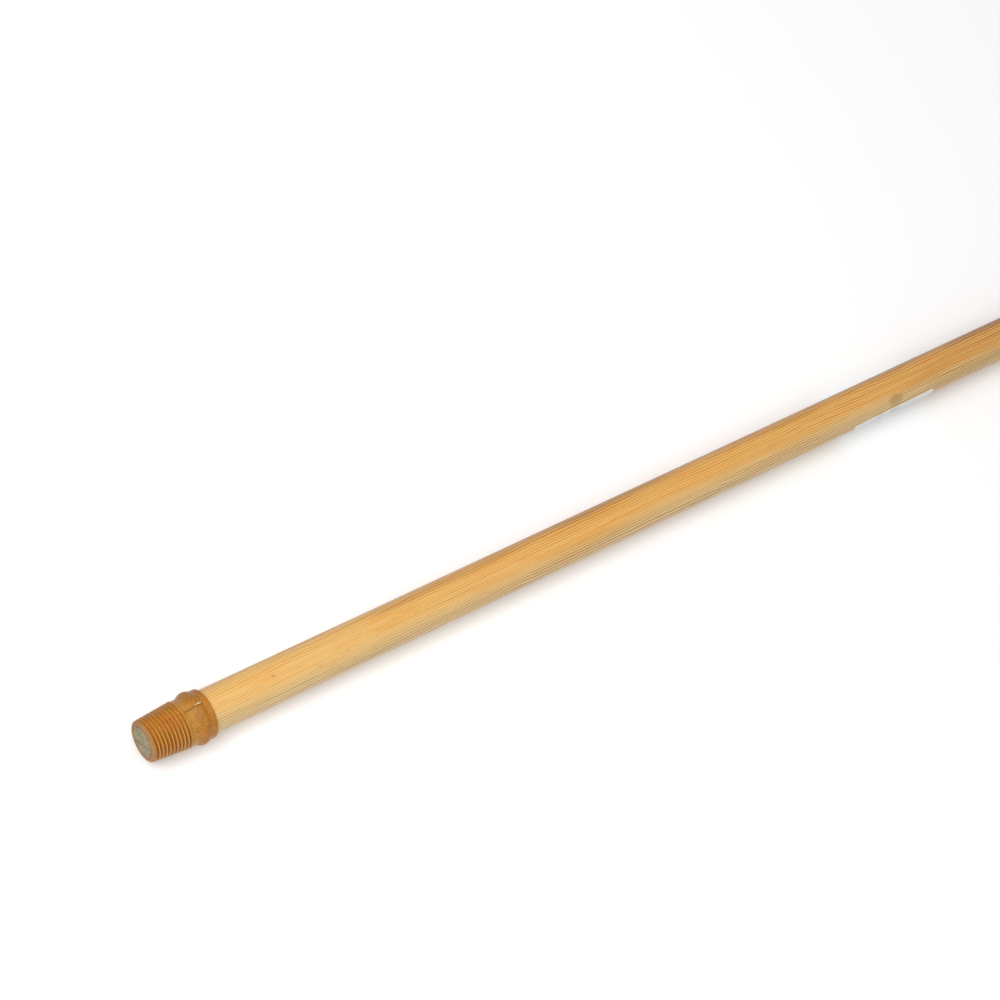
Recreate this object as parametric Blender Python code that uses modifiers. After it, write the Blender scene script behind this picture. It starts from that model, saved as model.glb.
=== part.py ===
"""Roller extension pole: a round pine shaft with a moulded, threaded ferrule pressed on its tool
end, a moulded cap with a hanging eye pressed on its other end, and a paper label.

Metres. The pole lies along +X with the wood's face at the tool end at x = 0, its axis at
y = z = 0, and the cap's hanging eye open along Z.
"""

import math

import bmesh
import bpy

# Driving dimensions
POLE_LENGTH = 1.220
SHAFT_RADIUS = 0.0120
SIDES = 24
STEP_ANGLE = 2 * math.pi / SIDES
FIT_GAP = 0.0003

# Tenon turned down on the shaft to go through the ferrule
TENON_RADIUS = 0.0086
TENON_LENGTH = 0.0250
SHOULDER_LENGTH = 0.0030
END_CHAMFER = 0.0010

# Ferrule
FERRULE_LENGTH = 0.0374
FERRULE_NOSE_RADIUS = 0.0096
THREAD_START = 0.0014
THREAD_END = 0.0218
THREAD_FRONT_RADIUS = 0.0116
THREAD_REAR_RADIUS = 0.0132
THREAD_PITCH = 0.00205
FIRST_GROOVE = 0.00225
THREAD_DEPTH = 0.0007
ROWS_PER_PITCH = 4
NECK_RADIUS = 0.0127
BULGE_START = 0.0262
BULGE_PEAK = 0.0302
BULGE_END = 0.0337
BULGE_RADIUS = 0.0146
COLLAR_RADIUS = 0.0135
COLLAR_EDGE = 0.0008

# Hanging cap, measured from its rim towards the tip of its loop
CAP_LENGTH = 0.0540
CAP_RIM_RADIUS = 0.0128
CAP_EDGE = 0.0006
CAP_WIDEST = 0.0250
CAP_HALF_WIDTH = 0.01475
CAP_HALF_HEIGHT = 0.0135
CAP_TIP_HALF_HEIGHT = 0.0050
CAP_SIDES = 32
SOCKET_DEPTH = 0.0190
EYE_WALL = 0.0280
EYE_END = 0.0495
EYE_HALF_WIDTH = 0.0087
EYE_CORNER = 0.0030

# Label, wrapped round the underside of the shaft
LABEL_START = 0.4845
LABEL_LENGTH = 0.0650
LABEL_FLATS = 12
LABEL_FIRST_ANGLE = math.radians(247.5)
LABEL_THICKNESS = 0.0002

CAP_RIM_X = POLE_LENGTH - CAP_LENGTH
SHAFT_END = CAP_RIM_X + SOCKET_DEPTH - FIT_GAP


def clear_scene():
    for old in list(bpy.data.objects):
        bpy.data.objects.remove(old, do_unlink=True)


def new_collection(name, hidden=False):
    collection = bpy.data.collections.new(name)
    collection.hide_render = hidden
    bpy.context.scene.collection.children.link(collection)
    return collection


def new_material(name, colour, roughness):
    material = bpy.data.materials.new(name)
    material.use_nodes = True
    shader = material.node_tree.nodes["Principled BSDF"]
    shader.inputs["Base Color"].default_value = (*colour, 1.0)
    shader.inputs["Roughness"].default_value = roughness
    shader.inputs["Metallic"].default_value = 0.0
    material.diffuse_color = (*colour, 1.0)
    return material


def object_from_mesh(mesh, name, collection, parent):
    piece = bpy.data.objects.new(name, mesh)
    collection.objects.link(piece)
    piece.parent = parent
    return piece


def turned_piece(name, profile, closed, collection, parent):
    """A profile of (distance along the pole, radius) points, from the far end to the near end on
    its outer side, turned round local Z. Half a step of turn puts a flat, not a corner, lowest."""
    half_step = STEP_ANGLE / 2
    points = [(r * math.cos(half_step), r * math.sin(half_step), x) for x, r in profile]
    edges = [(i, i + 1) for i in range(len(points) - 1)]
    if closed:
        edges.append((len(points) - 1, 0))
    mesh = bpy.data.meshes.new(name)
    mesh.from_pydata(points, edges, [])
    piece = object_from_mesh(mesh, name, collection, parent)
    screw = piece.modifiers.new("turn", "SCREW")
    screw.steps = SIDES
    screw.render_steps = SIDES
    screw.use_merge_vertices = True
    screw.merge_threshold = 0.00001
    return piece


def applied_mesh(piece):
    """The piece's mesh with its modifiers applied, which replaces the one it had."""
    bpy.context.view_layer.update()
    graph = bpy.context.evaluated_depsgraph_get()
    mesh = bpy.data.meshes.new_from_object(piece.evaluated_get(graph))
    piece.modifiers.clear()
    piece.data = mesh
    return mesh


def shade_round(piece, material):
    piece.data.materials.append(material)
    piece.data.shade_smooth()
    piece.data.set_sharp_from_angle(angle=math.radians(40))


def cut_away(piece, cutter, name):
    boolean = piece.modifiers.new(name, "BOOLEAN")
    boolean.operation = "DIFFERENCE"
    boolean.solver = "EXACT"
    boolean.object = cutter
    cutter.hide_render = True
    cutter.display_type = "WIRE"


def make_shaft(collection, parent):
    shoulder_end = TENON_LENGTH + SHOULDER_LENGTH
    profile = [
        (SHAFT_END, 0.0),
        (SHAFT_END, SHAFT_RADIUS - END_CHAMFER),
        (SHAFT_END - END_CHAMFER, SHAFT_RADIUS),
        (shoulder_end, SHAFT_RADIUS),
        (TENON_LENGTH, TENON_RADIUS),
        (0.0, TENON_RADIUS),
        (0.0, 0.0),
    ]
    shaft = turned_piece("wood_shaft", profile, False, collection, parent)
    applied_mesh(shaft)
    shade_round(shaft, new_material("pine", (0.72, 0.50, 0.24), 0.38))


def thread_radius(x):
    """Radius of the thread's crests, which lie on a cone."""
    share = (x - THREAD_START) / (THREAD_END - THREAD_START)
    return THREAD_FRONT_RADIUS + share * (THREAD_REAR_RADIUS - THREAD_FRONT_RADIUS)


def ferrule_outline():
    """The ferrule's outer side, from its rear edge to its nose."""
    rear = FERRULE_LENGTH
    edge_turns = [math.radians(a) for a in (0, 30, 60, 90)]
    collar_edge = [
        (
            rear - COLLAR_EDGE + COLLAR_EDGE * math.cos(turn),
            COLLAR_RADIUS - COLLAR_EDGE + COLLAR_EDGE * math.sin(turn),
        )
        for turn in edge_turns
    ]
    quarter = [i / 5 for i in range(6)]
    back = [
        (
            BULGE_END - share * (BULGE_END - BULGE_PEAK),
            COLLAR_RADIUS + (BULGE_RADIUS - COLLAR_RADIUS) * math.sin(math.pi / 2 * share),
        )
        for share in quarter
    ]
    front = [
        (
            BULGE_PEAK - share * (BULGE_PEAK - BULGE_START),
            NECK_RADIUS + (BULGE_RADIUS - NECK_RADIUS) * math.cos(math.pi / 2 * share),
        )
        for share in quarter[1:]
    ]
    row = THREAD_PITCH / ROWS_PER_PITCH
    rows = round((THREAD_END - THREAD_START) / row)
    thread = [
        (THREAD_END - i * row, thread_radius(THREAD_END - i * row)) for i in range(rows + 1)
    ]
    neck = [(THREAD_END + THREAD_PITCH / 2, NECK_RADIUS)]
    nose = [
        (
            THREAD_START - (THREAD_START - FIT_GAP) * math.sin(turn),
            FERRULE_NOSE_RADIUS + (THREAD_FRONT_RADIUS - FERRULE_NOSE_RADIUS) * math.cos(turn),
        )
        for turn in edge_turns[1:]
    ]
    return collar_edge + back + front + neck + thread + nose


def ferrule_bore():
    """The ferrule's inner side, from its nose to its rear edge, a gap away from the wood."""
    shoulder_end = TENON_LENGTH + SHOULDER_LENGTH
    return [
        (FIT_GAP, TENON_RADIUS + FIT_GAP),
        (TENON_LENGTH - FIT_GAP, TENON_RADIUS + FIT_GAP),
        (shoulder_end - FIT_GAP, SHAFT_RADIUS + FIT_GAP),
        (FERRULE_LENGTH, SHAFT_RADIUS + FIT_GAP),
    ]


def cut_thread(mesh):
    """Lowers the cone's rows into one continuous right-hand groove that fades out at both ends.
    Local -X is up, and turns are counted from there."""
    for vertex in mesh.vertices:
        x = vertex.co.z
        radius = vertex.co.xy.length
        in_thread = THREAD_START - FIT_GAP < x < THREAD_END + FIT_GAP
        if not in_thread or radius < THREAD_FRONT_RADIUS - FIT_GAP:
            continue
        turn = math.atan2(-vertex.co.y, -vertex.co.x) / (2 * math.pi)
        wave = 0.5 + 0.5 * math.cos(2 * math.pi * ((x - FIRST_GROOVE) / THREAD_PITCH - turn))
        ends = 2 * min(x - THREAD_START, THREAD_END - x) / THREAD_PITCH
        fade = min(1.0, max(0.0, ends))
        lowered = radius - THREAD_DEPTH * wave * fade
        vertex.co.x *= lowered / radius
        vertex.co.y *= lowered / radius


def make_ferrule(collection, parent):
    profile = ferrule_outline() + ferrule_bore()
    ferrule = turned_piece("thread_ferrule", profile, True, collection, parent)
    cut_thread(applied_mesh(ferrule))
    shade_round(ferrule, new_material("caramel_ferrule", (0.58, 0.27, 0.08), 0.42))


def cap_half_width(distance):
    if distance < CAP_WIDEST:
        share = 1 - distance / CAP_WIDEST
        return CAP_HALF_WIDTH - (CAP_HALF_WIDTH - CAP_RIM_RADIUS - CAP_EDGE / 2) * share**1.7
    share = (distance - CAP_WIDEST) / (CAP_LENGTH - CAP_WIDEST)
    return CAP_HALF_WIDTH * math.sqrt(1 - share**1.9)


def cap_half_height(distance):
    """Thins from the round socket to the loop's tip, which is rounded over at its very end."""
    share = distance / CAP_LENGTH
    taper = CAP_HALF_HEIGHT - (CAP_HALF_HEIGHT - CAP_TIP_HALF_HEIGHT) * share**2.8
    round_over = min(1.0, (CAP_LENGTH - distance) / CAP_TIP_HALF_HEIGHT)
    height = taper * math.sqrt(1 - (1 - round_over) ** 2 * 0.9)
    return min(height, cap_half_width(distance)) if distance < CAP_WIDEST else height


def cap_section(distance, half_width, half_height):
    """One ring round the cap: a circle at the rim, with flatter faces towards the loop."""
    power = 2 / (2 + 0.8 * min(1.0, distance / CAP_WIDEST))
    ring = []
    for i in range(CAP_SIDES):
        angle = (i + 0.5) * 2 * math.pi / CAP_SIDES
        c, s = math.cos(angle), math.sin(angle)
        height = math.copysign(abs(c) ** power, c) * half_height
        width = math.copysign(abs(s) ** power, s) * half_width
        ring.append((height, width, CAP_RIM_X + distance))
    return ring


def cap_body():
    """A loft of the cap's sections, closed by a small flat at the loop's tip."""
    rim = [(0.0, CAP_RIM_RADIUS, CAP_RIM_RADIUS)]
    rows = 15
    tip = CAP_LENGTH - CAP_EDGE / 4
    for i in range(rows):
        distance = CAP_EDGE + (tip - CAP_EDGE) * math.sin(math.pi / 2 * i / (rows - 1))
        rim.append((distance, cap_half_width(distance), cap_half_height(distance)))
    mesh = bmesh.new()
    rings = [[mesh.verts.new(p) for p in cap_section(*section)] for section in rim]
    for low, high in zip(rings, rings[1:]):
        for i in range(CAP_SIDES):
            j = (i + 1) % CAP_SIDES
            mesh.faces.new((low[i], low[j], high[j], high[i]))
    mesh.faces.new(reversed(rings[0]))
    mesh.faces.new(rings[-1])
    bmesh.ops.recalc_face_normals(mesh, faces=mesh.faces)
    body = bpy.data.meshes.new("hanging_cap")
    mesh.to_mesh(body)
    mesh.free()
    return body


def eye_outline():
    """The hanging eye seen along its axis: a flat wall with round corners, then a pointed arch."""
    corner = [math.radians(a) for a in (0, 30, 60, 90)]
    side = [
        (
            EYE_WALL + EYE_CORNER - EYE_CORNER * math.cos(turn),
            EYE_HALF_WIDTH - EYE_CORNER + EYE_CORNER * math.sin(turn),
        )
        for turn in corner
    ]
    arch_start = EYE_WALL + EYE_CORNER
    for i in range(1, 8):
        share = math.sin(math.pi / 2 * i / 8)
        distance = arch_start + share * (EYE_END - arch_start)
        side.append((distance, EYE_HALF_WIDTH * math.sqrt(1 - share**1.9)))
    mirrored = [(distance, -width) for distance, width in reversed(side)]
    return side + [(EYE_END, 0.0)] + mirrored


def eye_cutter(collection, parent):
    outline = eye_outline()
    reach = 2 * CAP_HALF_HEIGHT
    mesh = bmesh.new()
    floor = [mesh.verts.new((-reach, width, CAP_RIM_X + d)) for d, width in outline]
    face = mesh.faces.new(floor)
    pushed = bmesh.ops.extrude_face_region(mesh, geom=[face])["geom"]
    moved = [v for v in pushed if isinstance(v, bmesh.types.BMVert)]
    bmesh.ops.translate(mesh, verts=moved, vec=(2 * reach, 0.0, 0.0))
    bmesh.ops.recalc_face_normals(mesh, faces=mesh.faces)
    prism = bpy.data.meshes.new("eye_cutter")
    mesh.to_mesh(prism)
    mesh.free()
    return object_from_mesh(prism, "eye_cutter", collection, parent)


def socket_cutter(collection, parent):
    far = CAP_RIM_X + SOCKET_DEPTH
    near = CAP_RIM_X - SOCKET_DEPTH
    bore = SHAFT_RADIUS + FIT_GAP
    profile = [(far, 0.0), (far, bore), (near, bore), (near, 0.0)]
    cutter = turned_piece("socket_cutter", profile, False, collection, parent)
    applied_mesh(cutter)
    return cutter


def make_cap(collection, cutters, parent):
    cap = object_from_mesh(cap_body(), "hanging_cap", collection, parent)
    cut_away(cap, socket_cutter(cutters, parent), "socket")
    cut_away(cap, eye_cutter(cutters, parent), "eye")
    applied_mesh(cap)
    shade_round(cap, new_material("caramel_cap", (0.58, 0.30, 0.11), 0.45))


def make_label(collection, parent):
    """A sheet bent to the shaft's own flats, from one straight edge turned part of the way round."""
    radius = SHAFT_RADIUS + FIT_GAP
    y = radius * math.sin(LABEL_FIRST_ANGLE)
    x = radius * math.cos(LABEL_FIRST_ANGLE)
    edge = [(x, y, LABEL_START + LABEL_LENGTH), (x, y, LABEL_START)]
    mesh = bpy.data.meshes.new("label")
    mesh.from_pydata(edge, [(0, 1)], [])
    label = object_from_mesh(mesh, "label", collection, parent)
    screw = label.modifiers.new("wrap", "SCREW")
    screw.angle = LABEL_FLATS * STEP_ANGLE
    screw.steps = LABEL_FLATS
    screw.render_steps = LABEL_FLATS
    solidify = label.modifiers.new("thickness", "SOLIDIFY")
    solidify.thickness = LABEL_THICKNESS
    solidify.offset = 1.0
    applied_mesh(label)
    shade_round(label, new_material("label_paper", (0.62, 0.65, 0.62), 0.60))


clear_scene()
pole = new_collection("roller_extension_pole")
cutters = new_collection("cutters", hidden=True)
pole_axis = bpy.data.objects.new("pole_axis", None)
pole_axis.rotation_euler = (0.0, math.pi / 2, 0.0)
pole.objects.link(pole_axis)

make_shaft(pole, pole_axis)
make_ferrule(pole, pole_axis)
make_cap(pole, cutters, pole_axis)
make_label(pole, pole_axis)
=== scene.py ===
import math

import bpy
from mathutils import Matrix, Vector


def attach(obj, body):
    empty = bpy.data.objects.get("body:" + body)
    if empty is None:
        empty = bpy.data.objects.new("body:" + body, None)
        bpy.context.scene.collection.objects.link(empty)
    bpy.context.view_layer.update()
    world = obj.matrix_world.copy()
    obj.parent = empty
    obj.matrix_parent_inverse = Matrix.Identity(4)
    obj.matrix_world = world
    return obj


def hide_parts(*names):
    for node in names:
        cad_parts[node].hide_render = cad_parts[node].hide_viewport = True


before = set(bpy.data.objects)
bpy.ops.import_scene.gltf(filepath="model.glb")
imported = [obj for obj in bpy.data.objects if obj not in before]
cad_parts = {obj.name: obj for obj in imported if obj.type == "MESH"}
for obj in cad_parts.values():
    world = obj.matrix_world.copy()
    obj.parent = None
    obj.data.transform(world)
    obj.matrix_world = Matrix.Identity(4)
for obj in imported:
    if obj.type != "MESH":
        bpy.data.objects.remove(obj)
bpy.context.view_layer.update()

# A roller extension pole: a varnished pine shaft, a moulded threaded ferrule on its tool end, a
# moulded cap with a hanging eye on its other end, and a paper label. Metres, with the pole along +X
# from the wood's face at x = 0. Angles round the pole start at +Y and turn towards +Z.

for startup_object in ("Cube", "Light", "Camera"):
    if startup_object in bpy.data.objects:
        bpy.data.objects.remove(bpy.data.objects[startup_object])

# ---------------------------------------------------------------------------------------------
# Wooden shaft. A straight 24 mm dowel turned from flat-sawn pine, sanded and dipped in clear
# satin varnish. Its tool end is turned down to a tenon that goes right through the ferrule, so
# the sawn end grain shows in the ferrule's nose; its other end is pushed into the cap.

SHAFT_RADIUS = 0.0120
TENON_RADIUS = 0.0086
TENON_LENGTH = 0.0250
SHOULDER_LENGTH = 0.0030
TIP_EASING = 0.00012
END_CHAMFER = 0.0010
SHAFT_END = 1.1847
SHAFT_SIDES = 120
SHAFT_LENGTHS = 60

# The rings, in millimetres: their spacing, how far off their pith lies, their lean and run-out.
GROWTH_RING = 1.36
PITH_AWAY = 90.0
RING_TILT = math.radians(8.0)
GRAIN_RUNOUT = 5.4
RUNOUT_LENGTH = 110.0

# Where along the pole, in millimetres, the wood turns warmer, deeper and paler, and its marks.
WARM_FROM_TO = (60.0, 330.0)
DEEP_FROM_TO = (430.0, 660.0)
DEEP_ENDS = (1010.0, 800.0)
PALE_FROM_TO = (880.0, 1090.0)
BRUISE_AT = (517.5, -7.6)
SPECK_AT = (75.5, 0.2)
SAW_RIDGE = 1.25


class Wire:
    """One socket of a node tree. A sum written on it in Python adds its Math nodes to the tree."""

    def __init__(self, tree, socket=None):
        self.tree = tree
        self.socket = socket

    def add(self, kind, settings=None, inputs=None, out=0):
        """Adds a node: its settings first, then its sockets' values or links. Returns an output."""
        node = self.tree.nodes.new(kind)
        for name, value in (settings or {}).items():
            setattr(node, name, value)
        for name, value in (inputs or {}).items():
            if isinstance(value, Wire):
                self.tree.links.new(value.socket, node.inputs[name])
            else:
                node.inputs[name].default_value = value
        return Wire(self.tree, node.outputs[out]) if node.outputs else None

    def other(self, out):
        """Another output of the same node."""
        return Wire(self.tree, self.socket.node.outputs[out])

    def math(self, operation, *values):
        return self.add("ShaderNodeMath", {"operation": operation}, dict(enumerate(values)))

    def __add__(self, value):
        return self.math("ADD", self, value)

    __radd__ = __add__

    def __sub__(self, value):
        return self.math("SUBTRACT", self, value)

    def __rsub__(self, value):
        return self.math("SUBTRACT", value, self)

    def __mul__(self, value):
        return self.math("MULTIPLY", self, value)

    __rmul__ = __mul__

    def __truediv__(self, value):
        return self.math("DIVIDE", self, value)

    def __rtruediv__(self, value):
        return self.math("DIVIDE", value, self)

    def __pow__(self, value):
        return self.math("POWER", self, value)

    def __abs__(self):
        return self.math("ABSOLUTE", self)


def steps_up(value, low, high):
    """0 below low, 1 above high, and a smooth rise between. With high below low it falls."""
    if low > high:
        return 1 - steps_up(value, high, low)
    return value.add(
        "ShaderNodeMapRange",
        {"interpolation_type": "SMOOTHSTEP"},
        {"Value": value, "From Min": low, "From Max": high},
    )


def within(value, low, high, soft):
    """1 between low and high, 0 outside, over an edge of width soft."""
    return steps_up(value, low - soft / 2, low + soft / 2) * steps_up(
        value, high + soft / 2, high - soft / 2
    )


def mottle(x, y, z, size, detail=2.0, roughness=0.5):
    """A cloud round 0, of about half a unit each way, with patches of the given size."""
    spot = x.add("ShaderNodeCombineXYZ", {}, {0: x, 1: y, 2: z})
    settings = {"noise_dimensions": "3D"}
    sockets = {"Vector": spot, "Scale": 1 / size, "Detail": detail, "Roughness": roughness}
    return x.add("ShaderNodeTexNoise", settings, sockets) - 0.5


def tinted(mask, first, second):
    """The first colour where the mask is 0 and the second where it is 1."""
    settings = {"data_type": "RGBA", "clamp_factor": True}
    return mask.add("ShaderNodeMix", settings, {0: mask, 6: first, 7: second}, out=2)


def paint(red, green, blue):
    """A colour as a paint chart gives it, 0 to 255, in linear light."""
    return tuple(((shade / 255 + 0.055) / 1.055) ** 2.4 for shade in (red, green, blue)) + (1.0,)


def new_surface(name, **constants):
    """A material with its shader's fixed values set. Returns it, its shader and mm coordinates."""
    material = bpy.data.materials.new(name)
    material.use_nodes = True
    shader = material.node_tree.nodes["Principled BSDF"]
    for label, value in constants.items():
        shader.inputs[label.replace("_", " ")].default_value = value
    blank = Wire(material.node_tree)
    place = blank.add("ShaderNodeTexCoord", {}, {}, out="Object")
    scaled = blank.add("ShaderNodeVectorMath", {"operation": "SCALE"}, {0: place, "Scale": 1000.0})
    along = blank.add("ShaderNodeSeparateXYZ", {}, {0: scaled})
    return material, shader, (along, along.other(1), along.other(2))


def feed(shader, label, wire):
    wire.tree.links.new(wire.socket, shader.inputs[label])


def relief(shader, height, depth, strength=1.0):
    """Raises the surface by height times depth, in metres, without moving its mesh."""
    bump = height.add("ShaderNodeBump", {}, {"Height": height, "Distance": depth, "Strength": strength})
    feed(shader, "Normal", bump)


# Pale spring wood, from the ferrule onwards, then far side painted shade and near side painted
# reflection.
EARLY_FIRST = paint(223, 181, 112)
EARLY_WARM = paint(224, 174, 97)
EARLY_DEEP = paint(213, 164, 92)
EARLY_PALE = paint(224, 182, 124)
EARLY_BLUSH = paint(222, 156, 76)
EARLY_FAR_SHADE = paint(172, 120, 58)
EARLY_DEEP_FAR_SHADE = paint(122, 70, 18)
EARLY_NEAR_REFLECTION = paint(223, 195, 142)
# The dark line that ends each year's growth, in the same order.
LATE_FIRST = paint(203, 146, 66)
LATE_WARM = paint(188, 122, 46)
LATE_DEEP = paint(158, 92, 34)
LATE_PALE = paint(192, 130, 66)
LATE_FAR_SHADE = paint(142, 88, 36)
LATE_NEAR_REFLECTION = paint(172, 138, 94)
RESIN_BROWN = paint(150, 92, 42)
FAR_EDGE_SHADE = paint(136, 106, 56)
BRUISE_BROWN = paint(140, 100, 60)
SPECK_GREY = paint(120, 96, 62)
SAWN_LIGHT = paint(157, 145, 111)
SAWN_DARK = paint(85, 73, 46)
SAWN_RIM = paint(116, 88, 62)


def pine_varnish():
    material, shader, (along, across, up) = new_surface(
        "varnished_pine", Coat_Weight=0.14, Coat_Roughness=0.25, Specular_IOR_Level=0.22
    )
    # Growth rings: wide arcs round a pith that lies outside the dowel, leaning with the run-out.
    outward = across * math.cos(RING_TILT) + up * math.sin(RING_TILT)
    sideways = up * math.cos(RING_TILT) - across * math.sin(RING_TILT)
    runout = along.math("EXPONENT", along * (-1 / RUNOUT_LENGTH)) * GRAIN_RUNOUT
    slow_wave = mottle(along / 60, across / 14, up / 14, 1.0, 1.0) * 3.2
    small_wave = mottle(along / 16, across / 5, up / 5, 1.0, 2.0) * 0.9
    reach = ((outward + PITH_AWAY) ** 2 + sideways * sideways) ** 0.5 - PITH_AWAY
    growth = reach + runout + slow_wave + small_wave
    uneven = mottle(growth, growth * 0, growth * 0, 4.0, 1.0) * 0.6
    year = growth / GROWTH_RING + uneven
    season = year.math("FRACT", year)
    turn_of_year = year.math("FLOOR", year)
    vigour = year.add("ShaderNodeTexWhiteNoise", {"noise_dimensions": "1D"}, {"W": turn_of_year})
    latewood = steps_up(season, 0.12, 0.72) * steps_up(season, 1.0, 0.74)
    latewood = latewood * (0.66 + 0.45 * vigour)
    # Fibres, short dark resin lines and slow changes of tint along the pole.
    fibre = mottle(along / 22, across / 0.5, up / 0.5, 1.0, 3.0, 0.6)
    resin = steps_up(mottle(along / 9, across / 0.55, up / 0.55, 1.0, 2.0), 0.16, 0.26)
    tint = mottle(along / 90, across / 16, up / 16, 1.0, 2.0)
    warm = steps_up(along + tint * 160, *WARM_FROM_TO)
    deep = steps_up(along + tint * 260, *DEEP_FROM_TO) * steps_up(along + tint * 260, *DEEP_ENDS)
    pale = steps_up(along + tint * 160, *PALE_FROM_TO)
    streak = mottle(along / 80, across / 2.8, up / 2.8, 1.0, 2.0)
    dark = latewood * (0.66 + 0.12 * warm + 0.30 * deep + 0.30 * pale) * (1 + streak * 1.1)
    dark = dark + fibre * 0.30 + streak * 0.40 + tint * 0.15
    blush = steps_up(mottle(along / 34, across / 5, up / 5, 1.0, 2.0), -0.05, 0.25)
    early = tinted(warm, EARLY_FIRST, EARLY_WARM)
    early = tinted(deep, early, EARLY_DEEP)
    late = tinted(warm, LATE_FIRST, LATE_WARM)
    late = tinted(deep, late, LATE_DEEP)
    early = tinted(pale, early, EARLY_PALE)
    late = tinted(pale, late, LATE_PALE)
    early = tinted(blush * 0.6, early, EARLY_BLUSH)
    # Painted shade browns the far side; painted reflection makes the near side straw with grey-brown
    # lines.
    far_side_shade = steps_up(across + tint * 8, 5.5, 11.5) * (0.42 + 0.40 * warm) * (1 - pale * 0.8)
    near_side_reflection = steps_up(across + tint * 8, -2.5, -9.5)
    early = tinted(far_side_shade, early, EARLY_FAR_SHADE)
    early = tinted(far_side_shade * deep * 0.8, early, EARLY_DEEP_FAR_SHADE)
    late = tinted(far_side_shade, late, LATE_FAR_SHADE)
    early = tinted(near_side_reflection * 0.8, early, EARLY_NEAR_REFLECTION)
    late = tinted(near_side_reflection * 0.85, late, LATE_NEAR_REFLECTION)
    wood = tinted(dark * (1 + near_side_reflection * 0.3), early, late)
    wood = tinted(resin * 0.45, wood, RESIN_BROWN)
    # Painted shade darkens the far edge.
    wood = tinted(steps_up(across, 9.4, 11.6) * (0.32 - 0.2 * warm), wood, FAR_EDGE_SHADE)
    # A faint bruise above the label, and one small grey speck near the ferrule.
    bruise = ((along - BRUISE_AT[0]) / 6.5) ** 2 + ((across - BRUISE_AT[1]) / 3.0) ** 2
    speck = (along - SPECK_AT[0]) ** 2 + (across - SPECK_AT[1]) ** 2
    on_top = steps_up(up, 0.0, 3.0) * 0.4
    wood = tinted(steps_up(bruise, 1.2, 0.2) * on_top, wood, BRUISE_BROWN)
    wood = tinted(steps_up(speck, 1.0, 0.2) * on_top, wood, SPECK_GREY)
    # The sawn end: grey, thirsty end grain, its rings broken into wavering ridges by the saw.
    distance = (across * across + up * up) ** 0.5
    swirl = mottle(along * 0, outward / 1.6, sideways / 1.6, 1.0, 1.5, 0.6)
    fleck = mottle(along * 0, outward / 0.45, sideways / 0.30, 1.0, 2.0, 0.6)
    blot = mottle(along * 0, across, up, 4.5, 2.0)
    ridge = 0.5 + 0.5 * reach.math("SINE", (reach + swirl * 2.6) * (2 * math.pi / SAW_RIDGE))
    sawn = steps_up(ridge, 0.15, 0.85) * (0.55 + blot) + fleck * 0.7 + steps_up(blot, -0.2, 0.3) * 0.2
    end_grain = tinted(sawn, SAWN_LIGHT, SAWN_DARK)
    end_grain = tinted(steps_up(distance, 7.9, 8.6) * 0.35, end_grain, SAWN_RIM)
    at_end = steps_up(along, 0.32, 0.20)
    feed(shader, "Base Color", tinted(at_end, wood, end_grain))
    sheen = 0.40 + fibre * 0.12 + mottle(along, across, up, 7.0, 2.0) * 0.10
    feed(shader, "Roughness", sheen + at_end * 0.35)
    grain_relief = latewood * 0.5 + fibre * 0.7 + mottle(along, across, up, 0.8, 2.0) * 0.5
    relief(shader, grain_relief + at_end * (fleck * 2 - ridge), 0.00003)
    return material


def round_angles(sides):
    return [2 * math.pi * side / sides for side in range(sides)]


def turned_mesh(name, profile, angles, closed=False):
    """A mesh turned round the pole from (distance along, radius) points, in the order that keeps
    the solid on the right. A radius of 0 closes it in one point; closed joins last to first."""
    points = []
    rings = []
    for along, radius in profile:
        first = len(points)
        if radius == 0:
            points.append((along, 0.0, 0.0))
            rings.append([first] * len(angles))
        else:
            points += [(along, radius * math.cos(a), radius * math.sin(a)) for a in angles]
            rings.append(list(range(first, first + len(angles))))
    pairs = list(zip(rings, rings[1:]))
    if closed:
        pairs.append((rings[-1], rings[0]))
    faces = []
    for near, far in pairs:
        for side in range(len(angles)):
            after = (side + 1) % len(angles)
            corners = [near[side], near[after], far[after], far[side]]
            faces.append(list(dict.fromkeys(corners)))
    mesh = bpy.data.meshes.new(name)
    mesh.from_pydata(points, [], faces)
    mesh.update()
    return mesh


def finished(piece, node, material=None):
    """Sets a piece in the assembly, in place of its CAD node."""
    if material:
        piece.data.materials.append(material)
    piece.data.shade_smooth()
    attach(piece, "root")
    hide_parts(node)


def new_piece(name, mesh):
    piece = bpy.data.objects.new(name, mesh)
    bpy.context.scene.collection.objects.link(piece)
    return piece


def shaft_profile():
    shoulder_end = TENON_LENGTH + SHOULDER_LENGTH
    face = [(0.0, TENON_RADIUS * share) for share in (0.0, 0.25, 0.5, 0.75)]
    easing = [(0.0, TENON_RADIUS - TIP_EASING), (TIP_EASING * 0.3, TENON_RADIUS - TIP_EASING * 0.3)]
    tenon = [(TIP_EASING, TENON_RADIUS), (TENON_LENGTH, TENON_RADIUS)]
    step = (SHAFT_END - END_CHAMFER - shoulder_end) / SHAFT_LENGTHS
    body = [(shoulder_end + step * i, SHAFT_RADIUS) for i in range(SHAFT_LENGTHS + 1)]
    far_end = [(SHAFT_END, SHAFT_RADIUS - END_CHAMFER), (SHAFT_END, 0.0)]
    return face + easing + tenon + body + far_end


shaft_mesh = turned_mesh("pine_shaft", shaft_profile(), round_angles(SHAFT_SIDES))
pine_shaft = new_piece("pine_shaft", shaft_mesh)
finished(pine_shaft, "wood_shaft", pine_varnish())
pine_shaft.data.set_sharp_from_angle(angle=math.radians(40))

# ---------------------------------------------------------------------------------------------
# Threaded ferrule. One injection moulding in caramel plastic, pressed and glued on the tenon: a
# tapered coarse right-hand thread, a plain neck, a rounded stop bulge and a short collar. The
# two halves of its mould meet in a parting line, with a sliver of flash standing on the bulge.

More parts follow.
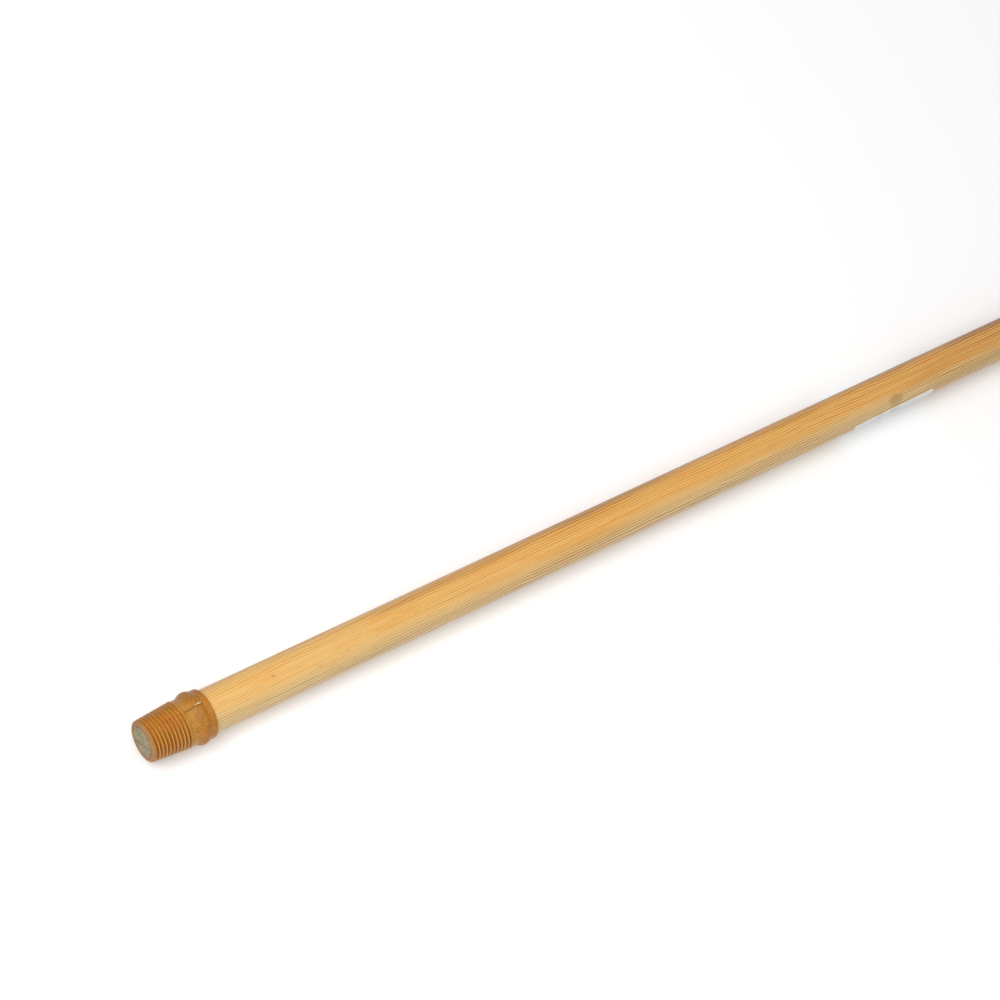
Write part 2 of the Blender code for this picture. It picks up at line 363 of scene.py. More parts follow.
FERRULE_LENGTH = 0.0370
FIT_GAP = 0.0001
MOUTH_GAP = 0.00002
NOSE_RADIUS = 0.0096
THREAD_START = 0.0014
THREAD_END = 0.0218
THREAD_FRONT_RADIUS = 0.0116
THREAD_REAR_RADIUS = 0.0132
THREAD_PITCH = 0.00205
FIRST_GROOVE = 0.00225
THREAD_DEPTH = 0.00100
THREAD_FADE = 0.0004
NECK_RADIUS = 0.0127
NECK_EASING = 0.0010
NECK_START = 0.0232
BULGE_START = 0.0262
BULGE_PEAK = 0.0302
BULGE_END = 0.0337
BULGE_RADIUS = 0.0146
COLLAR_RADIUS = 0.0135
COLLAR_EDGE = 0.0004
PARTING_ANGLE = math.radians(77.4)
PARTING_COLUMNS = (0.25, 0.5, 0.8, 1.2, 1.7, 2.3)
FERRULE_SIDES = 168
THREAD_ROWS = 204
FLASH_START = 0.0285
FLASH_END = 0.0326
TEAR_START = 0.0232
TEAR_END = 0.0330
BLISTER_AT = 0.0287
BLISTER_ANGLE = math.radians(104.0)


def between(first, last, share):
    return first + (last - first) * share


def shares(rows):
    """Even steps, from just past 0 up to 1."""
    return [row / rows for row in range(1, rows + 1)]


def outer_ferrule():
    """(distance along, radius) points from the nose to the collar's end, with no thread yet."""
    quarter = math.pi / 2
    collar_flat = FERRULE_LENGTH - COLLAR_EDGE
    points = []
    for share in [0.0] + shares(8):
        along = between(THREAD_START, FIT_GAP, math.sin(quarter * (1 - share)))
        radius = between(NOSE_RADIUS, THREAD_FRONT_RADIUS, math.cos(quarter * (1 - share)))
        points.append((along, radius))
    for share in shares(THREAD_ROWS):
        radius = between(THREAD_FRONT_RADIUS, THREAD_REAR_RADIUS, share)
        points.append((between(THREAD_START, THREAD_END, share), radius))
    for share in shares(6):
        fall = 0.5 + 0.5 * math.cos(math.pi * share)
        radius = between(NECK_RADIUS, THREAD_REAR_RADIUS, fall)
        points.append((THREAD_END + NECK_EASING * share, radius))
    for share in [0.0] + shares(6):
        points.append((between(NECK_START, BULGE_START, share), NECK_RADIUS))
    for share in shares(24):
        radius = between(NECK_RADIUS, BULGE_RADIUS, math.sin(quarter * share))
        points.append((between(BULGE_START, BULGE_PEAK, share), radius))
    for share in shares(20):
        radius = between(COLLAR_RADIUS, BULGE_RADIUS, math.cos(quarter * share))
        points.append((between(BULGE_PEAK, BULGE_END, share), radius))
    for share in shares(7):
        points.append((between(BULGE_END, collar_flat, share), COLLAR_RADIUS))
    for share in shares(8):
        radius = COLLAR_RADIUS - COLLAR_EDGE * (1 - math.cos(quarter * share))
        points.append((collar_flat + COLLAR_EDGE * math.sin(quarter * share), radius))
    return points


def ferrule_profile():
    """The outside, then back along the bore, which follows the tenon and the shaft's shoulder."""
    shoulder_end = TENON_LENGTH + SHOULDER_LENGTH
    bore = [
        (FERRULE_LENGTH, SHAFT_RADIUS + FIT_GAP),
        (shoulder_end, SHAFT_RADIUS + FIT_GAP),
        (TENON_LENGTH, TENON_RADIUS + FIT_GAP),
        (0.0020, TENON_RADIUS + FIT_GAP),
        (0.0015, TENON_RADIUS + MOUTH_GAP),
        (FIT_GAP + 0.0001, TENON_RADIUS + MOUTH_GAP),
        (FIT_GAP, TENON_RADIUS + MOUTH_GAP + 0.0001),
    ]
    return outer_ferrule() + bore


def ferrule_angles():
    """Even columns, and closer ones at both parting lines."""
    angles = [angle + PARTING_ANGLE for angle in round_angles(FERRULE_SIDES)]
    close = [sign * math.radians(step) for step in PARTING_COLUMNS for sign in (-1, 1)]
    for seam in (PARTING_ANGLE, PARTING_ANGLE + math.pi):
        angles += [seam + step for step in close]
    return sorted(set(round(angle % (2 * math.pi), 6) for angle in angles))


def shaping_tree(name, sizes):
    """A Geometry Nodes tree with one named input for each size. Returns it and those inputs."""
    tree = bpy.data.node_groups.new(name, "GeometryNodeTree")
    tree.interface.new_socket("Geometry", in_out="INPUT", socket_type="NodeSocketGeometry")
    for label in sizes:
        tree.interface.new_socket(label, in_out="INPUT", socket_type="NodeSocketFloat")
    tree.interface.new_socket("Geometry", in_out="OUTPUT", socket_type="NodeSocketGeometry")
    entry = Wire(tree).add("NodeGroupInput")
    return tree, entry, {label: entry.other(label) for label in sizes}


def end_of_tree(geometry, material):
    realized = geometry.add("GeometryNodeRealizeInstances", {}, {0: geometry})
    painted = geometry.add("GeometryNodeSetMaterial", {}, {"Geometry": realized, "Material": material})
    geometry.add("NodeGroupOutput", {}, {0: painted})


def shape_with(piece, tree, sizes):
    """Runs the tree on the piece once and keeps the result as its plain mesh."""
    modifier = piece.modifiers.new(tree.name, "NODES")
    modifier.node_group = tree
    for item in tree.interface.items_tree:
        if item.in_out == "INPUT" and item.name in sizes:
            modifier[item.identifier] = sizes[item.name]
    bpy.context.view_layer.update()
    graph = bpy.context.evaluated_depsgraph_get()
    mesh = bpy.data.meshes.new_from_object(piece.evaluated_get(graph))
    piece.modifiers.remove(modifier)
    piece.data = mesh
    mesh.name = piece.name


def thread_cutting(sizes, material):
    """Cuts the groove of a screw thread round a turned blank, and raises the parting lines."""
    tree, entry, size = shaping_tree("cut_thread", sizes)
    along = entry.add("ShaderNodeSeparateXYZ", {}, {0: entry.add("GeometryNodeInputPosition")})
    across = along.other(1)
    up = along.other(2)
    radius = (across * across + up * up) ** 0.5
    outside = steps_up(radius, 0.0098, 0.0108)
    turn = along.math("ARCTAN2", 0 - across, up) / (2 * math.pi)
    lap = (along - size["First groove"]) / size["Pitch"] - turn
    off_groove = abs(lap.math("FRACT", lap + 0.5) - 0.5)
    groove = (0.5 + 0.5 * lap.math("COSINE", off_groove * (2 * math.pi))) ** 0.85
    half = size["Pitch"] * 0.5
    runs_in = lap.math("MINIMUM", lap.math("MAXIMUM", (along - size["Start"]) / half, 0), 1)
    runs_out = lap.math("MINIMUM", lap.math("MAXIMUM", (size["End"] - along) / half, 0), 1)
    cut = groove * runs_in * runs_out * size["Depth"]
    beside = across * math.sin(PARTING_ANGLE) - up * math.cos(PARTING_ANGLE)
    near_seam = steps_up(abs(beside), 0.00022, 0.00003)
    on_seam = near_seam * outside
    ridge = on_seam * 0.00006
    on_top = steps_up(up, 0.0, 0.001)
    flash = within(along, FLASH_START, FLASH_END, 0.0012) * within(beside, 0.00005, 0.00055, 0.0003)
    tear = within(along, TEAR_START, TEAR_END, 0.0008) * within(beside, -0.00040, 0.0, 0.0002)
    lift = ridge - cut + on_top * (flash * 0.00022 - tear * 0.00012)
    lift = lift * outside / radius
    offset = along.add("ShaderNodeCombineXYZ", {}, {1: across * lift, 2: up * lift})
    moved = along.add("GeometryNodeSetPosition", {}, {"Geometry": entry, "Offset": offset})
    end_of_tree(moved, material)
    return tree


# The plastic's colours: each part, then clouds, scuffs, painted shade and highlight, then marks.
CREST_FRONT = paint(180, 116, 20)
CREST_REAR = paint(186, 126, 30)
NECK_TAN = paint(180, 128, 50)
BULGE_TAN = paint(168, 110, 28)
COLLAR_TAN = paint(174, 110, 26)
COLLAR_RIM_SHADE = paint(112, 48, 22)
NOSE_DULL = paint(150, 104, 54)
CLOUD_BROWN = paint(146, 76, 5)
FLOW_PALE = paint(190, 138, 74)
SCUFF_PALE = paint(204, 160, 112)
PEPPER_LIGHT = paint(206, 158, 100)
PEPPER_DARK = paint(124, 66, 12)
FERRULE_FAR_SHADE = paint(104, 66, 16)
GROOVE_SHADE = paint(124, 64, 5)
CREST_HIGHLIGHT_TAN = paint(220, 174, 112)
STRAINED_ORANGE = paint(182, 92, 12)
SEAM_BROWN = paint(112, 64, 24)
TEAR_SHADE_BROWN = paint(104, 54, 18)
FLASH_HIGHLIGHT_PALE = paint(246, 224, 186)
BLISTER_HIGHLIGHT_PALE = paint(224, 178, 122)
BLISTER_BROWN = paint(140, 84, 24)
NOSE_RING_MAUVE = paint(134, 102, 78)


def ferrule_plastic():
    material, shader, (along, across, up) = new_surface(
        "caramel_ferrule_plastic", Specular_IOR_Level=0.26
    )
    radius = (across * across + up * up) ** 0.5
    turn = along.math("ARCTAN2", 0 - across, up) / (2 * math.pi)
    lap = (along - FIRST_GROOVE * 1000) / (THREAD_PITCH * 1000) - turn
    off_groove = abs(lap.math("FRACT", lap + 0.5) - 0.5)
    threaded = within(along, THREAD_START * 1000, THREAD_END * 1000, 0.8)
    groove = steps_up(off_groove, 0.38, 0.06) * threaded
    low_side = steps_up(across, 8.0, -8.0)
    cloud = mottle(along, across, up, 3.4, 3.0, 0.6)
    flow = mottle(along / 2.5, across, up, 1.3, 2.0)
    pepper = mottle(along, across, up, 0.7, 2.0, 0.7)
    scuff = steps_up(mottle(along / 1.6, across, up, 1.2, 3.0, 0.7), 0.06, 0.26)
    crest = tinted(steps_up(along, 2.0, 20.0), CREST_FRONT, CREST_REAR)
    plain = tinted(steps_up(along, 24.5, 29.0), NECK_TAN, BULGE_TAN)
    plain = tinted(steps_up(along, 32.0, 34.5), plain, COLLAR_TAN)
    # Painted shade along the collar's rear edge, where it meets the wood.
    plain = tinted(steps_up(along, 36.5, 36.9) * 0.8, plain, COLLAR_RIM_SHADE)
    body = tinted(threaded, plain, crest)
    body = tinted(steps_up(along, 2.4, 0.8) * 0.7, body, NOSE_DULL)
    body = tinted(steps_up(cloud, -0.10, 0.35) * 0.6, body, CLOUD_BROWN)
    body = tinted(steps_up(flow, 0.05, 0.35) * 0.35, body, FLOW_PALE)
    body = tinted(scuff * 0.45 * (1 - threaded * 0.7), body, SCUFF_PALE)
    body = tinted(steps_up(pepper, 0.0, 0.30) * 0.5, body, PEPPER_LIGHT)
    body = tinted(steps_up(pepper, -0.02, -0.30) * 0.55, body, PEPPER_DARK)
    # Painted shade on the far side.
    body = tinted(steps_up(across, 4.0, 11.5) * 0.4, body, FERRULE_FAR_SHADE)
    # Painted shade in the groove, stronger on the low side.
    body = tinted(groove * (0.22 + 0.50 * low_side), body, GROOVE_SHADE)
    # A painted highlight along the crests, stronger on the low side.
    crest_highlight = steps_up(off_groove, 0.33, 0.48) * threaded
    body = tinted(crest_highlight * (0.14 + low_side * 0.42), body, CREST_HIGHLIGHT_TAN)
    # The flash on the bulge, pale with a painted highlight, and the brown tear beside it, with painted
    # shade.
    beside = across * math.sin(PARTING_ANGLE) - up * math.cos(PARTING_ANGLE)
    top = steps_up(up, 0.0, 1.0)
    flash = within(along, FLASH_START * 1000, FLASH_END * 1000, 1.3)
    width = 0.2 + 0.65 * steps_up(along, FLASH_START * 1000, FLASH_END * 1000)
    flash = flash * steps_up(beside, -0.02, 0.14) * steps_up(beside - width, 0.10, -0.10)
    tear = within(along, TEAR_START * 1000, TEAR_END * 1000, 1.2) * within(beside, -0.48, 0.05, 0.28)
    notches = within(beside, -0.4, 0.4, 0.4) * within(along, 9.0, 21.8, 2.0) * groove
    orange = steps_up(cloud + flow, -0.15, 0.25) * within(beside, -4.5, 5.0, 3.0) * threaded
    seam = within(beside, -0.12, 0.12, 0.08) * 0.3
    body = tinted(orange * 0.5, body, STRAINED_ORANGE)
    body = tinted(seam, body, SEAM_BROWN)
    # The tear and the notches by the seam: brown marks with painted shade.
    body = tinted(top * (tear * 0.75 + notches * 0.35), body, TEAR_SHADE_BROWN)
    body = tinted(top * flash * 0.95, body, FLASH_HIGHLIGHT_PALE)
    # A flat blister beside the tear, with a painted highlight along its far rim.
    aside = across * math.sin(BLISTER_ANGLE) - up * math.cos(BLISTER_ANGLE)
    blister = ((along - BLISTER_AT * 1000) / 2.3) ** 2 + (aside / 3.5) ** 2
    blister_highlight = within(blister, 0.90, 1.18, 0.25) * steps_up(along, 28.9, 30.4) * top
    body = tinted(blister_highlight * (0.45 + flow * 2.0), body, BLISTER_HIGHLIGHT_PALE)
    raised = steps_up(blister, 1.05, 0.75) * top
    body = tinted(raised * steps_up(along, 30.6, 27.8) * 0.25, body, BLISTER_BROWN)
    # The nose: a dull mauve-brown ring round the wood, rougher than the rest.
    nose_ring = steps_up(along, 0.8, 0.2) * steps_up(radius, 10.4, 9.3)
    body = tinted(nose_ring * (0.6 + cloud * 0.5), body, NOSE_RING_MAUVE)
    feed(shader, "Base Color", body)
    feed(shader, "Roughness", 0.42 + cloud * 0.12 + groove * 0.1 + nose_ring * 0.2)
    fine = mottle(along, across, up, 0.35, 2.0)
    relief(shader, fine * 0.5 + cloud * 2.0 + raised * 2.2, 0.00004)
    return material


thread_sizes = {
    "Pitch": THREAD_PITCH,
    "Depth": THREAD_DEPTH,
    "First groove": FIRST_GROOVE,
    "Start": THREAD_START - THREAD_FADE,
    "End": THREAD_END + THREAD_FADE,
}
ferrule_blank = turned_mesh("ferrule", ferrule_profile(), ferrule_angles(), closed=True)
ferrule = new_piece("threaded_ferrule", ferrule_blank)
ferrule_tree = thread_cutting(thread_sizes, ferrule_plastic())
shape_with(ferrule, ferrule_tree, thread_sizes)
finished(ferrule, "thread_ferrule")
ferrule.data.set_sharp_from_angle(angle=math.radians(55))

# ---------------------------------------------------------------------------------------------
# Hanging cap. One injection moulding in the same plastic, a deep socket pushed over the wood and
# glued, flattening into a loop with a D-shaped eye to hang the pole by. All its edges are soft.

CAP_RIM_AT = 1.166
CAP_LENGTH = 0.0540
# The moulding's own sizes, in millimetres, with distances along it taken from its rim.
CAP_RIM_RADIUS = 12.8
CAP_RIM_EDGE = 0.3
CAP_WIDEST = 25.0
CAP_HALF_WIDTH = 14.75
CAP_HALF_HEIGHT = 13.5
CAP_TIP_HALF_HEIGHT = 5.0
SOCKET_RADIUS = 12.05
SOCKET_DEPTH = 19.0
EYE_WALL = 28.0
EYE_END = 49.5
EYE_HALF_WIDTH = 8.7
EYE_CORNER = 3.8
EYE_FILLET = 2.3
GATE_FROM_RIM = 3.4
FILLET_TO_BLEND = 1.76
# The box that the moulding is made in, in metres again, and the size of its cells.
MOULD_CELL = 0.00031
MOULD_MARGIN = 0.0012
MOULD_HALF_WIDTH = 0.0162
MOULD_HALF_HEIGHT = 0.0150


def cap_moulding(sizes, material):
    """Fills a box with the cap's thickness in millimetres, positive inside, and skins it at 0."""
    tree, entry, size = shaping_tree("moulded_cap", sizes)
    spot = entry.add("GeometryNodeInputPosition")
    along = entry.add("ShaderNodeSeparateXYZ", {}, {0: spot})
    across = along.other(1) * 1000
    up = along.other(2) * 1000
    from_rim = (along - CAP_RIM_AT) * 1000
    length = size["Length"]
    low = from_rim.math("MINIMUM", from_rim / CAP_WIDEST, 1)
    low = low.math("MAXIMUM", low, 0)
    widening = size["Half width"] - CAP_RIM_RADIUS - CAP_RIM_EDGE
    half_width = size["Half width"] - widening * (1 - low) ** 1.7
    loop = from_rim.math("MAXIMUM", (from_rim - CAP_WIDEST) / (length - CAP_WIDEST), 0)
    share = from_rim.math("MAXIMUM", from_rim / length, 0)
    thinning = (CAP_HALF_HEIGHT - CAP_TIP_HALF_HEIGHT) * share**2.8
    half_height = from_rim.math("MINIMUM", CAP_HALF_HEIGHT - thinning, half_width)
    half_height = from_rim.math("MAXIMUM", half_height, 2.0)
    squareness = 2.0 + 0.8 * low + 1.2 * loop
    plan = ((across / half_width) ** 2 + loop**1.9) ** 0.5
    height = abs(up) / half_height
    level = (plan**squareness + height**squareness) ** (1 / squareness)
    slope = (
        (across / (half_width * half_width)) ** 2
        + (loop / (length - CAP_WIDEST)) ** 2
        + (up / (half_height * half_height)) ** 2
    ) ** 0.5
    body = (1 - level) / slope.math("MAXIMUM", slope, 0.02)
    eye_span = EYE_END - EYE_WALL
    reach = from_rim.math("MAXIMUM", (from_rim - EYE_WALL) / eye_span, 0)
    eye_half = size["Eye half width"]
    arch = ((across / eye_half) ** 2 + reach**1.9) ** 0.5
    arch_slope = ((across / (eye_half * eye_half)) ** 2 + (reach / eye_span) ** 2) ** 0.5
    eye = (1 - arch) / arch_slope.math("MAXIMUM", arch_slope, 0.02)
    corner = EYE_CORNER * FILLET_TO_BLEND
    eye = eye.math("SMOOTH_MIN", eye, from_rim - EYE_WALL, corner)
    solid = body.math("SMOOTH_MIN", body, 0 - eye, EYE_FILLET * FILLET_TO_BLEND)
    radius = (across * across + up * up) ** 0.5
    socket = radius.math("MINIMUM", size["Socket radius"] - radius, SOCKET_DEPTH - from_rim)
    solid = solid.math("MINIMUM", solid, 0 - socket)
    solid = solid.math("SMOOTH_MIN", solid, from_rim, CAP_RIM_EDGE * FILLET_TO_BLEND)
    gate = ((from_rim - GATE_FROM_RIM) ** 2 + across * across) ** 0.5
    on_top = steps_up(up, 2.0, 4.0)
    solid = solid + on_top * (steps_up(gate, 0.75, 0.45) * 0.12 - within(gate, 0.8, 1.15, 0.3) * 0.10)
    corner_low = (CAP_RIM_AT - MOULD_MARGIN, -MOULD_HALF_WIDTH, -MOULD_HALF_HEIGHT)
    corner_high = (CAP_RIM_AT + CAP_LENGTH + MOULD_MARGIN, MOULD_HALF_WIDTH, MOULD_HALF_HEIGHT)
    cells = [int((high - low_end) / MOULD_CELL) for low_end, high in zip(corner_low, corner_high)]
    sockets = {
        "Density": solid + 1,
        "Background": 0.0,
        "Min": corner_low,
        "Max": corner_high,
        "Resolution X": cells[0],
        "Resolution Y": cells[1],
        "Resolution Z": cells[2],
    }
    filled = entry.add("GeometryNodeVolumeCube", {}, sockets)
    skin = entry.add("GeometryNodeVolumeToMesh", {}, {"Volume": filled, "Threshold": 1.0})
    eased = entry.add(
        "GeometryNodeBlurAttribute", {"data_type": "FLOAT_VECTOR"}, {"Value": spot, "Iterations": 2}
    )
    smooth = entry.add("GeometryNodeSetPosition", {}, {"Geometry": skin, "Position": eased})
    end_of_tree(smooth, material)
    return tree


# The same plastic by its colours on the cap, from its socket to its loop, then clouds, painted shade
# and marks.
SOCKET_TAN = paint(187, 120, 40)
MIDDLE_TAN = paint(182, 128, 58)
LOOP_TAN = paint(188, 128, 58)
CAP_CLOUD = paint(154, 96, 34)
CAP_GRAIN_LIGHT = paint(208, 160, 104)
CAP_GRAIN_DARK = paint(136, 80, 18)
CAP_SCUFF = paint(214, 172, 128)
CAP_PEPPER_LIGHT = paint(216, 172, 122)
CAP_PEPPER_DARK = paint(118, 66, 14)
CAP_SIDE_SHADE = paint(124, 84, 38)
EYE_SHADE_AND_GRIME = paint(110, 68, 28)
CAP_SEAM = paint(112, 68, 30)
GATE_PALE = paint(226, 182, 122)
BLACK_SPECK = paint(70, 42, 24)


def cap_plastic():
    material, shader, (along, across, up) = new_surface(
        "caramel_cap_plastic", Specular_IOR_Level=0.26
    )
    from_rim = along - CAP_RIM_AT * 1000
    cloud = mottle(along, across, up, 6.0, 3.0, 0.6)
    grain = mottle(along / 2.6, across, up, 0.9, 3.0, 0.65)
    body = tinted(steps_up(from_rim, 1.0, 7.0), SOCKET_TAN, MIDDLE_TAN)
    body = tinted(steps_up(from_rim, 30.0, 50.0), body, LOOP_TAN)
    body = tinted(steps_up(cloud, -0.1, 0.3) * 0.6, body, CAP_CLOUD)
    pepper = mottle(along, across, up, 0.7, 2.0, 0.7)
    scuff = steps_up(mottle(along / 1.6, across, up, 1.3, 3.0, 0.7), 0.05, 0.24)
    body = tinted(steps_up(grain, 0.0, 0.3) * 0.6, body, CAP_GRAIN_LIGHT)
    body = tinted(steps_up(grain, -0.03, -0.3) * 0.6, body, CAP_GRAIN_DARK)
    body = tinted(scuff * 0.4, body, CAP_SCUFF)
    body = tinted(steps_up(pepper, 0.0, 0.30) * 0.45, body, CAP_PEPPER_LIGHT)
    body = tinted(steps_up(pepper, -0.02, -0.30) * 0.65, body, CAP_PEPPER_DARK)
    # Painted shade on the -Y side, and painted shade with grime inside the eye.
    body = tinted(steps_up(across, -5.0, -13.5) * 0.4, body, CAP_SIDE_SHADE)
    reach = from_rim.math("MAXIMUM", (from_rim - EYE_WALL) / (EYE_END - EYE_WALL), 0)
    arch = ((across / EYE_HALF_WIDTH) ** 2 + reach**1.9) ** 0.5
    inside = steps_up(arch, 1.08, 0.99) * steps_up(from_rim, EYE_WALL - 0.9, EYE_WALL + 0.2)
    inside = inside * steps_up(up, 11.4, 8.6)
    # Painted shade with grime on the eye's inner wall.
    body = tinted(inside * 0.6, body, EYE_SHADE_AND_GRIME)
    # A broken parting line along the middle, a ragged gate mark, and a few specks of black.
    patchy = steps_up(mottle(along, across, up, 2.6, 2.0), -0.12, 0.20)
    seam = within(across, -0.10, 0.10, 0.1) * within(from_rim, 0.5, 26.0, 3.0) * patchy
    gate = ((from_rim - GATE_FROM_RIM) ** 2 + across * across) ** 0.5
    ragged = steps_up(gate + mottle(along, across, up, 0.5, 2.0) * 1.6, 1.1, 0.7)
    body = tinted(seam * 0.4, body, CAP_SEAM)
    body = tinted(ragged * steps_up(up, 2.0, 4.0) * 0.5, body, GATE_PALE)
    speck = steps_up(mottle(along, across, up, 1.1, 1.0), 0.30, 0.34)
    body = tinted(speck * 0.7, body, BLACK_SPECK)
    feed(shader, "Base Color", body)
    feed(shader, "Roughness", 0.40 + cloud * 0.14 + grain * 0.1)
    relief(shader, grain * 0.6 + cloud * 1.5 + seam * 0.8, 0.00005)
    return material


cap_sizes = {
    "Length": CAP_LENGTH * 1000,
    "Half width": CAP_HALF_WIDTH,
    "Eye half width": EYE_HALF_WIDTH,
    "Socket radius": SOCKET_RADIUS,
}
cap_core = [(CAP_RIM_AT, 0.0), (CAP_RIM_AT, 0.01), (CAP_RIM_AT + 0.01, 0.0)]
cap = new_piece("hanging_cap_loop", turned_mesh("cap_core", cap_core, round_angles(3)))
cap_tree = cap_moulding(cap_sizes, cap_plastic())
shape_with(cap, cap_tree, cap_sizes)
finished(cap, "hanging_cap")

# ---------------------------------------------------------------------------------------------
# Label. A 65 mm long white paper sticker with rounded corners, wrapped half round the lower side
# of the shaft, a degree out of true. Its print is nothing but plain faded bars.

LABEL_START = 0.4845
LABEL_LENGTH = 0.0650
LABEL_TOP_ANGLE = math.radians(158.8)
LABEL_SKEW = math.radians(-5.4)
LABEL_WRAP = math.radians(178.0)
LABEL_THICKNESS = 0.00012
LABEL_LIFT = 0.00002
LABEL_LEFT_CORNER = 0.0026
LABEL_RIGHT_CORNER = 0.0021
LABEL_COLUMNS = 130
LABEL_ROWS = 80
# The rows of bars stand this many millimetres apart.
BAR_PITCH = 3.4

PAPER_LIGHT = paint(228, 231, 226)
PAPER_DULL = paint(214, 219, 214)
FADED_INK = paint(112, 122, 162)


def corner_cut(along):
    """How far the sheet's long edges draw in at this distance along it, for its round corners."""
    cut = 0.0
    for corner, into in ((LABEL_LEFT_CORNER, along), (LABEL_RIGHT_CORNER, LABEL_LENGTH - along)):
        if into < corner:
            cut = max(cut, corner - math.sqrt(corner**2 - (corner - into) ** 2))
    return cut


def label_mesh():
    points = []
    radius = SHAFT_RADIUS + LABEL_LIFT
    for i in range(LABEL_COLUMNS + 1):
        # Columns crowd towards both ends, where the corners are.
        share = 0.5 - 0.5 * math.cos(math.pi * i / LABEL_COLUMNS)
        along = LABEL_LENGTH * share
        cut = corner_cut(along) / radius
        first = LABEL_TOP_ANGLE + LABEL_SKEW * share + cut
        last = LABEL_TOP_ANGLE + LABEL_SKEW * share + LABEL_WRAP - cut
        for j in range(LABEL_ROWS + 1):
            angle = first + (last - first) * j / LABEL_ROWS
            points.append((LABEL_START + along, radius * math.cos(angle), radius * math.sin(angle)))
    faces = []
    for i in range(LABEL_COLUMNS):
        for j in range(LABEL_ROWS):
            first = i * (LABEL_ROWS + 1) + j
            after = first + LABEL_ROWS + 1
            faces.append((first, first + 1, after + 1, after))
    mesh = bpy.data.meshes.new("paper_label")
    mesh.from_pydata(points, [], faces)
    return mesh


def label_paper():
    material, shader, (along, across, up) = new_surface(
        "label_paper", Specular_IOR_Level=0.35, Coat_Weight=0.1, Coat_Roughness=0.4
    )
    angle = along.math("ARCTAN2", up, across)
    angle = angle + 2 * math.pi * angle.math("LESS_THAN", angle, 0)
    down = (angle - LABEL_TOP_ANGLE) * (SHAFT_RADIUS * 1000)
    from_left = along - LABEL_START * 1000
    down = down - from_left * (LABEL_SKEW * SHAFT_RADIUS / LABEL_LENGTH)
    haze = mottle(along, across, up, 2.2, 3.0)
    paper = tinted(steps_up(haze, -0.3, 0.4), PAPER_LIGHT, PAPER_DULL)
    slanted = from_left + down * 0.8
    smudges = within(slanted, 22.0, 26.5, 1.6) + within(slanted, 32.0, 38.5, 1.8)
    smudges = smudges * within(down, 1.2, 5.2, 1.0)
    # Rows of plain bars, shorter and paler towards the end of each row.
    row = down / BAR_PITCH
    in_row = within(row.math("FRACT", row), 0.25, 0.62, 0.08)
    block = within(down, 9.0, 29.5, 0.3) * within(from_left, 6.0, 42.0, 0.3)
    gap = steps_up(mottle(from_left, row.math("FLOOR", row) * 7, row * 0, 3.2, 0.0), -0.10, -0.06)
    band = within(down, 6.5, 31.0, 0.2) * within(from_left, 47.0, 59.0, 0.2)
    print_mask = smudges * 0.35 + block * in_row * gap * 0.55 + band * 0.45
    paper = tinted(print_mask * (0.85 + haze * 0.5), paper, FADED_INK)
    feed(shader, "Base Color", paper)
    feed(shader, "Roughness", 0.5 + haze * 0.2)
    relief(shader, haze * 0.6 + mottle(along, across, up, 0.25, 2.0) * 0.3, 0.00003)
    return material


label = new_piece("paper_label", label_mesh())
sheet_thickness = label.modifiers.new("paper_thickness", "SOLIDIFY")
sheet_thickness.thickness = LABEL_THICKNESS
sheet_thickness.offset = 1.0
finished(label, "label", label_paper())

# ---------------------------------------------------------------------------------------------
# Studio. A plain white sweep under the pole, even white surroundings, one large soft light
# overhead, and a softbox above and beyond the tool end that rakes across the thread.

FLOOR_HEIGHT = -BULGE_RADIUS
FLOOR_REACH = 45.0
FLOOR_WHITE = (0.92, 0.92, 0.92, 1.0)
FLOOR_GLOW_NEAR = (0.06, 0.06, 0.06, 1.0)
FLOOR_GLOW_FAR = (0.60, 0.60, 0.60, 1.0)
# Millimetres: the glow's centre along the pole, and where it starts and stops growing.
GLOW_CENTRE = 300.0
GLOW_FROM_TO = (300.0, 4200.0)

SURROUNDINGS_LIGHT = 0.38
BACKGROUND_WHITE = 0.96

floor_mesh = bpy.data.meshes.new("studio_floor")
floor_signs = [(-1, -1), (1, -1), (1, 1), (-1, 1)]
floor_corners = [(x * FLOOR_REACH, y * FLOOR_REACH, FLOOR_HEIGHT) for x, y in floor_signs]
floor_mesh.from_pydata(floor_corners, [], [(0, 1, 2, 3)])
floor = new_piece("studio_floor", floor_mesh)
floor_paint, floor_shader, (floor_x, floor_y, _) = new_surface(
    "studio_white", Roughness=0.9, Specular_IOR_Level=0.1, Emission_Strength=1.0
)
floor_shader.inputs["Base Color"].default_value = FLOOR_WHITE
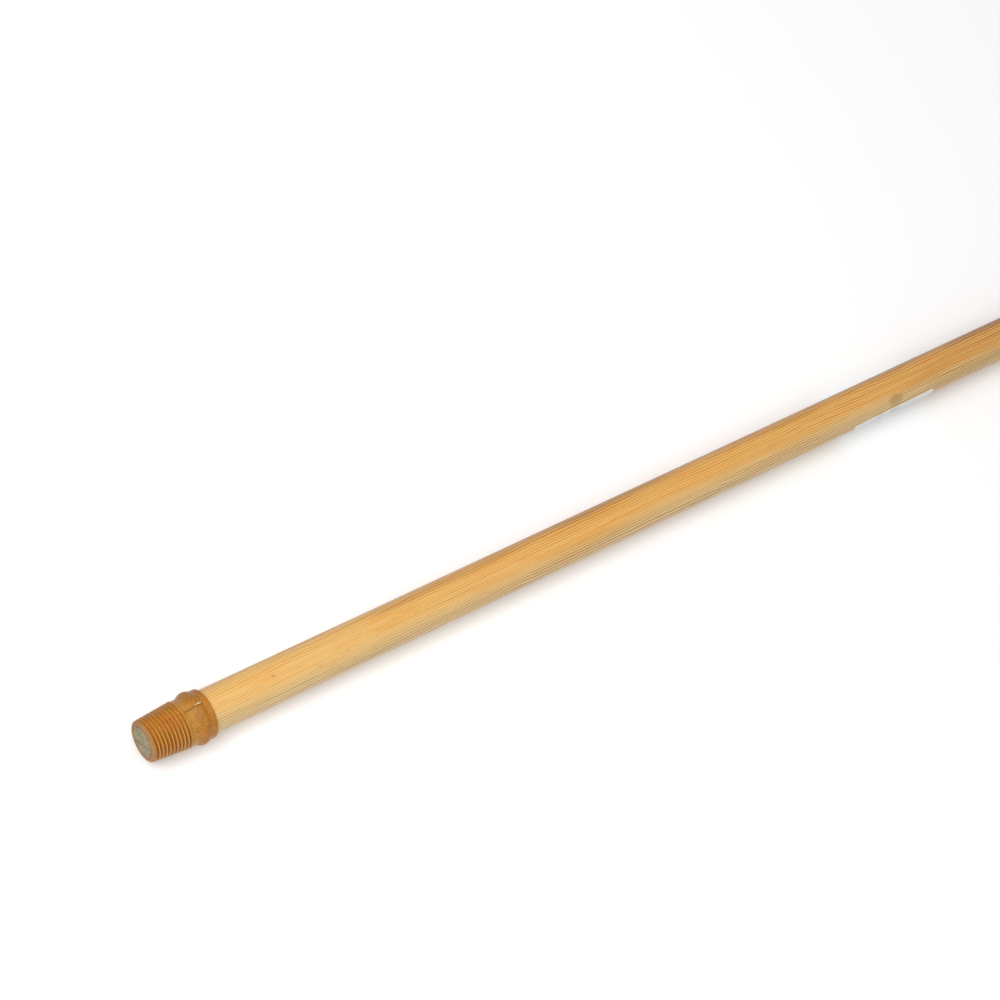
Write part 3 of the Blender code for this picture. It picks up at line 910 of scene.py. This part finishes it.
# Lights that are not built brighten the sweep further out, up to the white of its background.
from_lamp = ((floor_x - GLOW_CENTRE) ** 2 + floor_y * floor_y) ** 0.5
far_out = steps_up(from_lamp, *GLOW_FROM_TO)
feed(floor_shader, "Emission Color", tinted(far_out, FLOOR_GLOW_NEAR, FLOOR_GLOW_FAR))
floor_mesh.materials.append(floor_paint)

surroundings = bpy.data.worlds.new("studio_surroundings")
surroundings.use_nodes = True
background = surroundings.node_tree.nodes["Background"]
background.inputs["Color"].default_value = (1.0, 1.0, 1.0, 1.0)
seen = Wire(surroundings.node_tree).add("ShaderNodeLightPath", {}, {}, out="Is Camera Ray")
glow = SURROUNDINGS_LIGHT + seen * (BACKGROUND_WHITE - SURROUNDINGS_LIGHT)
surroundings.node_tree.links.new(glow.socket, background.inputs["Strength"])
bpy.context.scene.world = surroundings
bpy.context.scene.view_settings.view_transform = "Standard"


def soft_light(name, place, aim, width, depth, power):
    data = bpy.data.lights.new(name, "AREA")
    data.shape = "RECTANGLE"
    data.size = width
    data.size_y = depth
    data.energy = power
    light = bpy.data.objects.new(name, data)
    light.location = place
    light.rotation_euler = (Vector(aim) - Vector(place)).to_track_quat("-Z", "Y").to_euler()
    bpy.context.scene.collection.objects.link(light)


soft_light("overhead", (0.3, 0.0, 3.0), (0.3, 0.0, 0.0), 5.0, 5.0, 66.0)
soft_light("key", (-0.75, 0.10, 1.15), (0.15, 0.0, 0.0), 0.8, 0.8, 12.5)

# The camera looks steeply down along the pole from beyond its tool end.
CAMERA_AT = Vector((-0.4901, -0.2168, 1.2803))
CAMERA_RIGHT = Vector((0.79192, -0.49250, 0.36097))
CAMERA_UP = Vector((0.35880, 0.85365, 0.37754))
CAMERA_BACK = Vector((-0.49408, -0.16947, 0.85274))
CAMERA_LENS = 97.68
CAMERA_FILM = 36.0
CAMERA_SEES_TO = 100.0

camera_data = bpy.data.cameras.new("camera")
camera_data.lens = CAMERA_LENS
camera_data.sensor_width = CAMERA_FILM
camera_data.clip_end = CAMERA_SEES_TO
camera = bpy.data.objects.new("camera", camera_data)
turned = Matrix((CAMERA_RIGHT, CAMERA_UP, CAMERA_BACK)).transposed()
camera.matrix_world = Matrix.Translation(CAMERA_AT) @ turned.to_4x4()
bpy.context.scene.collection.objects.link(camera)
bpy.context.scene.camera = camera
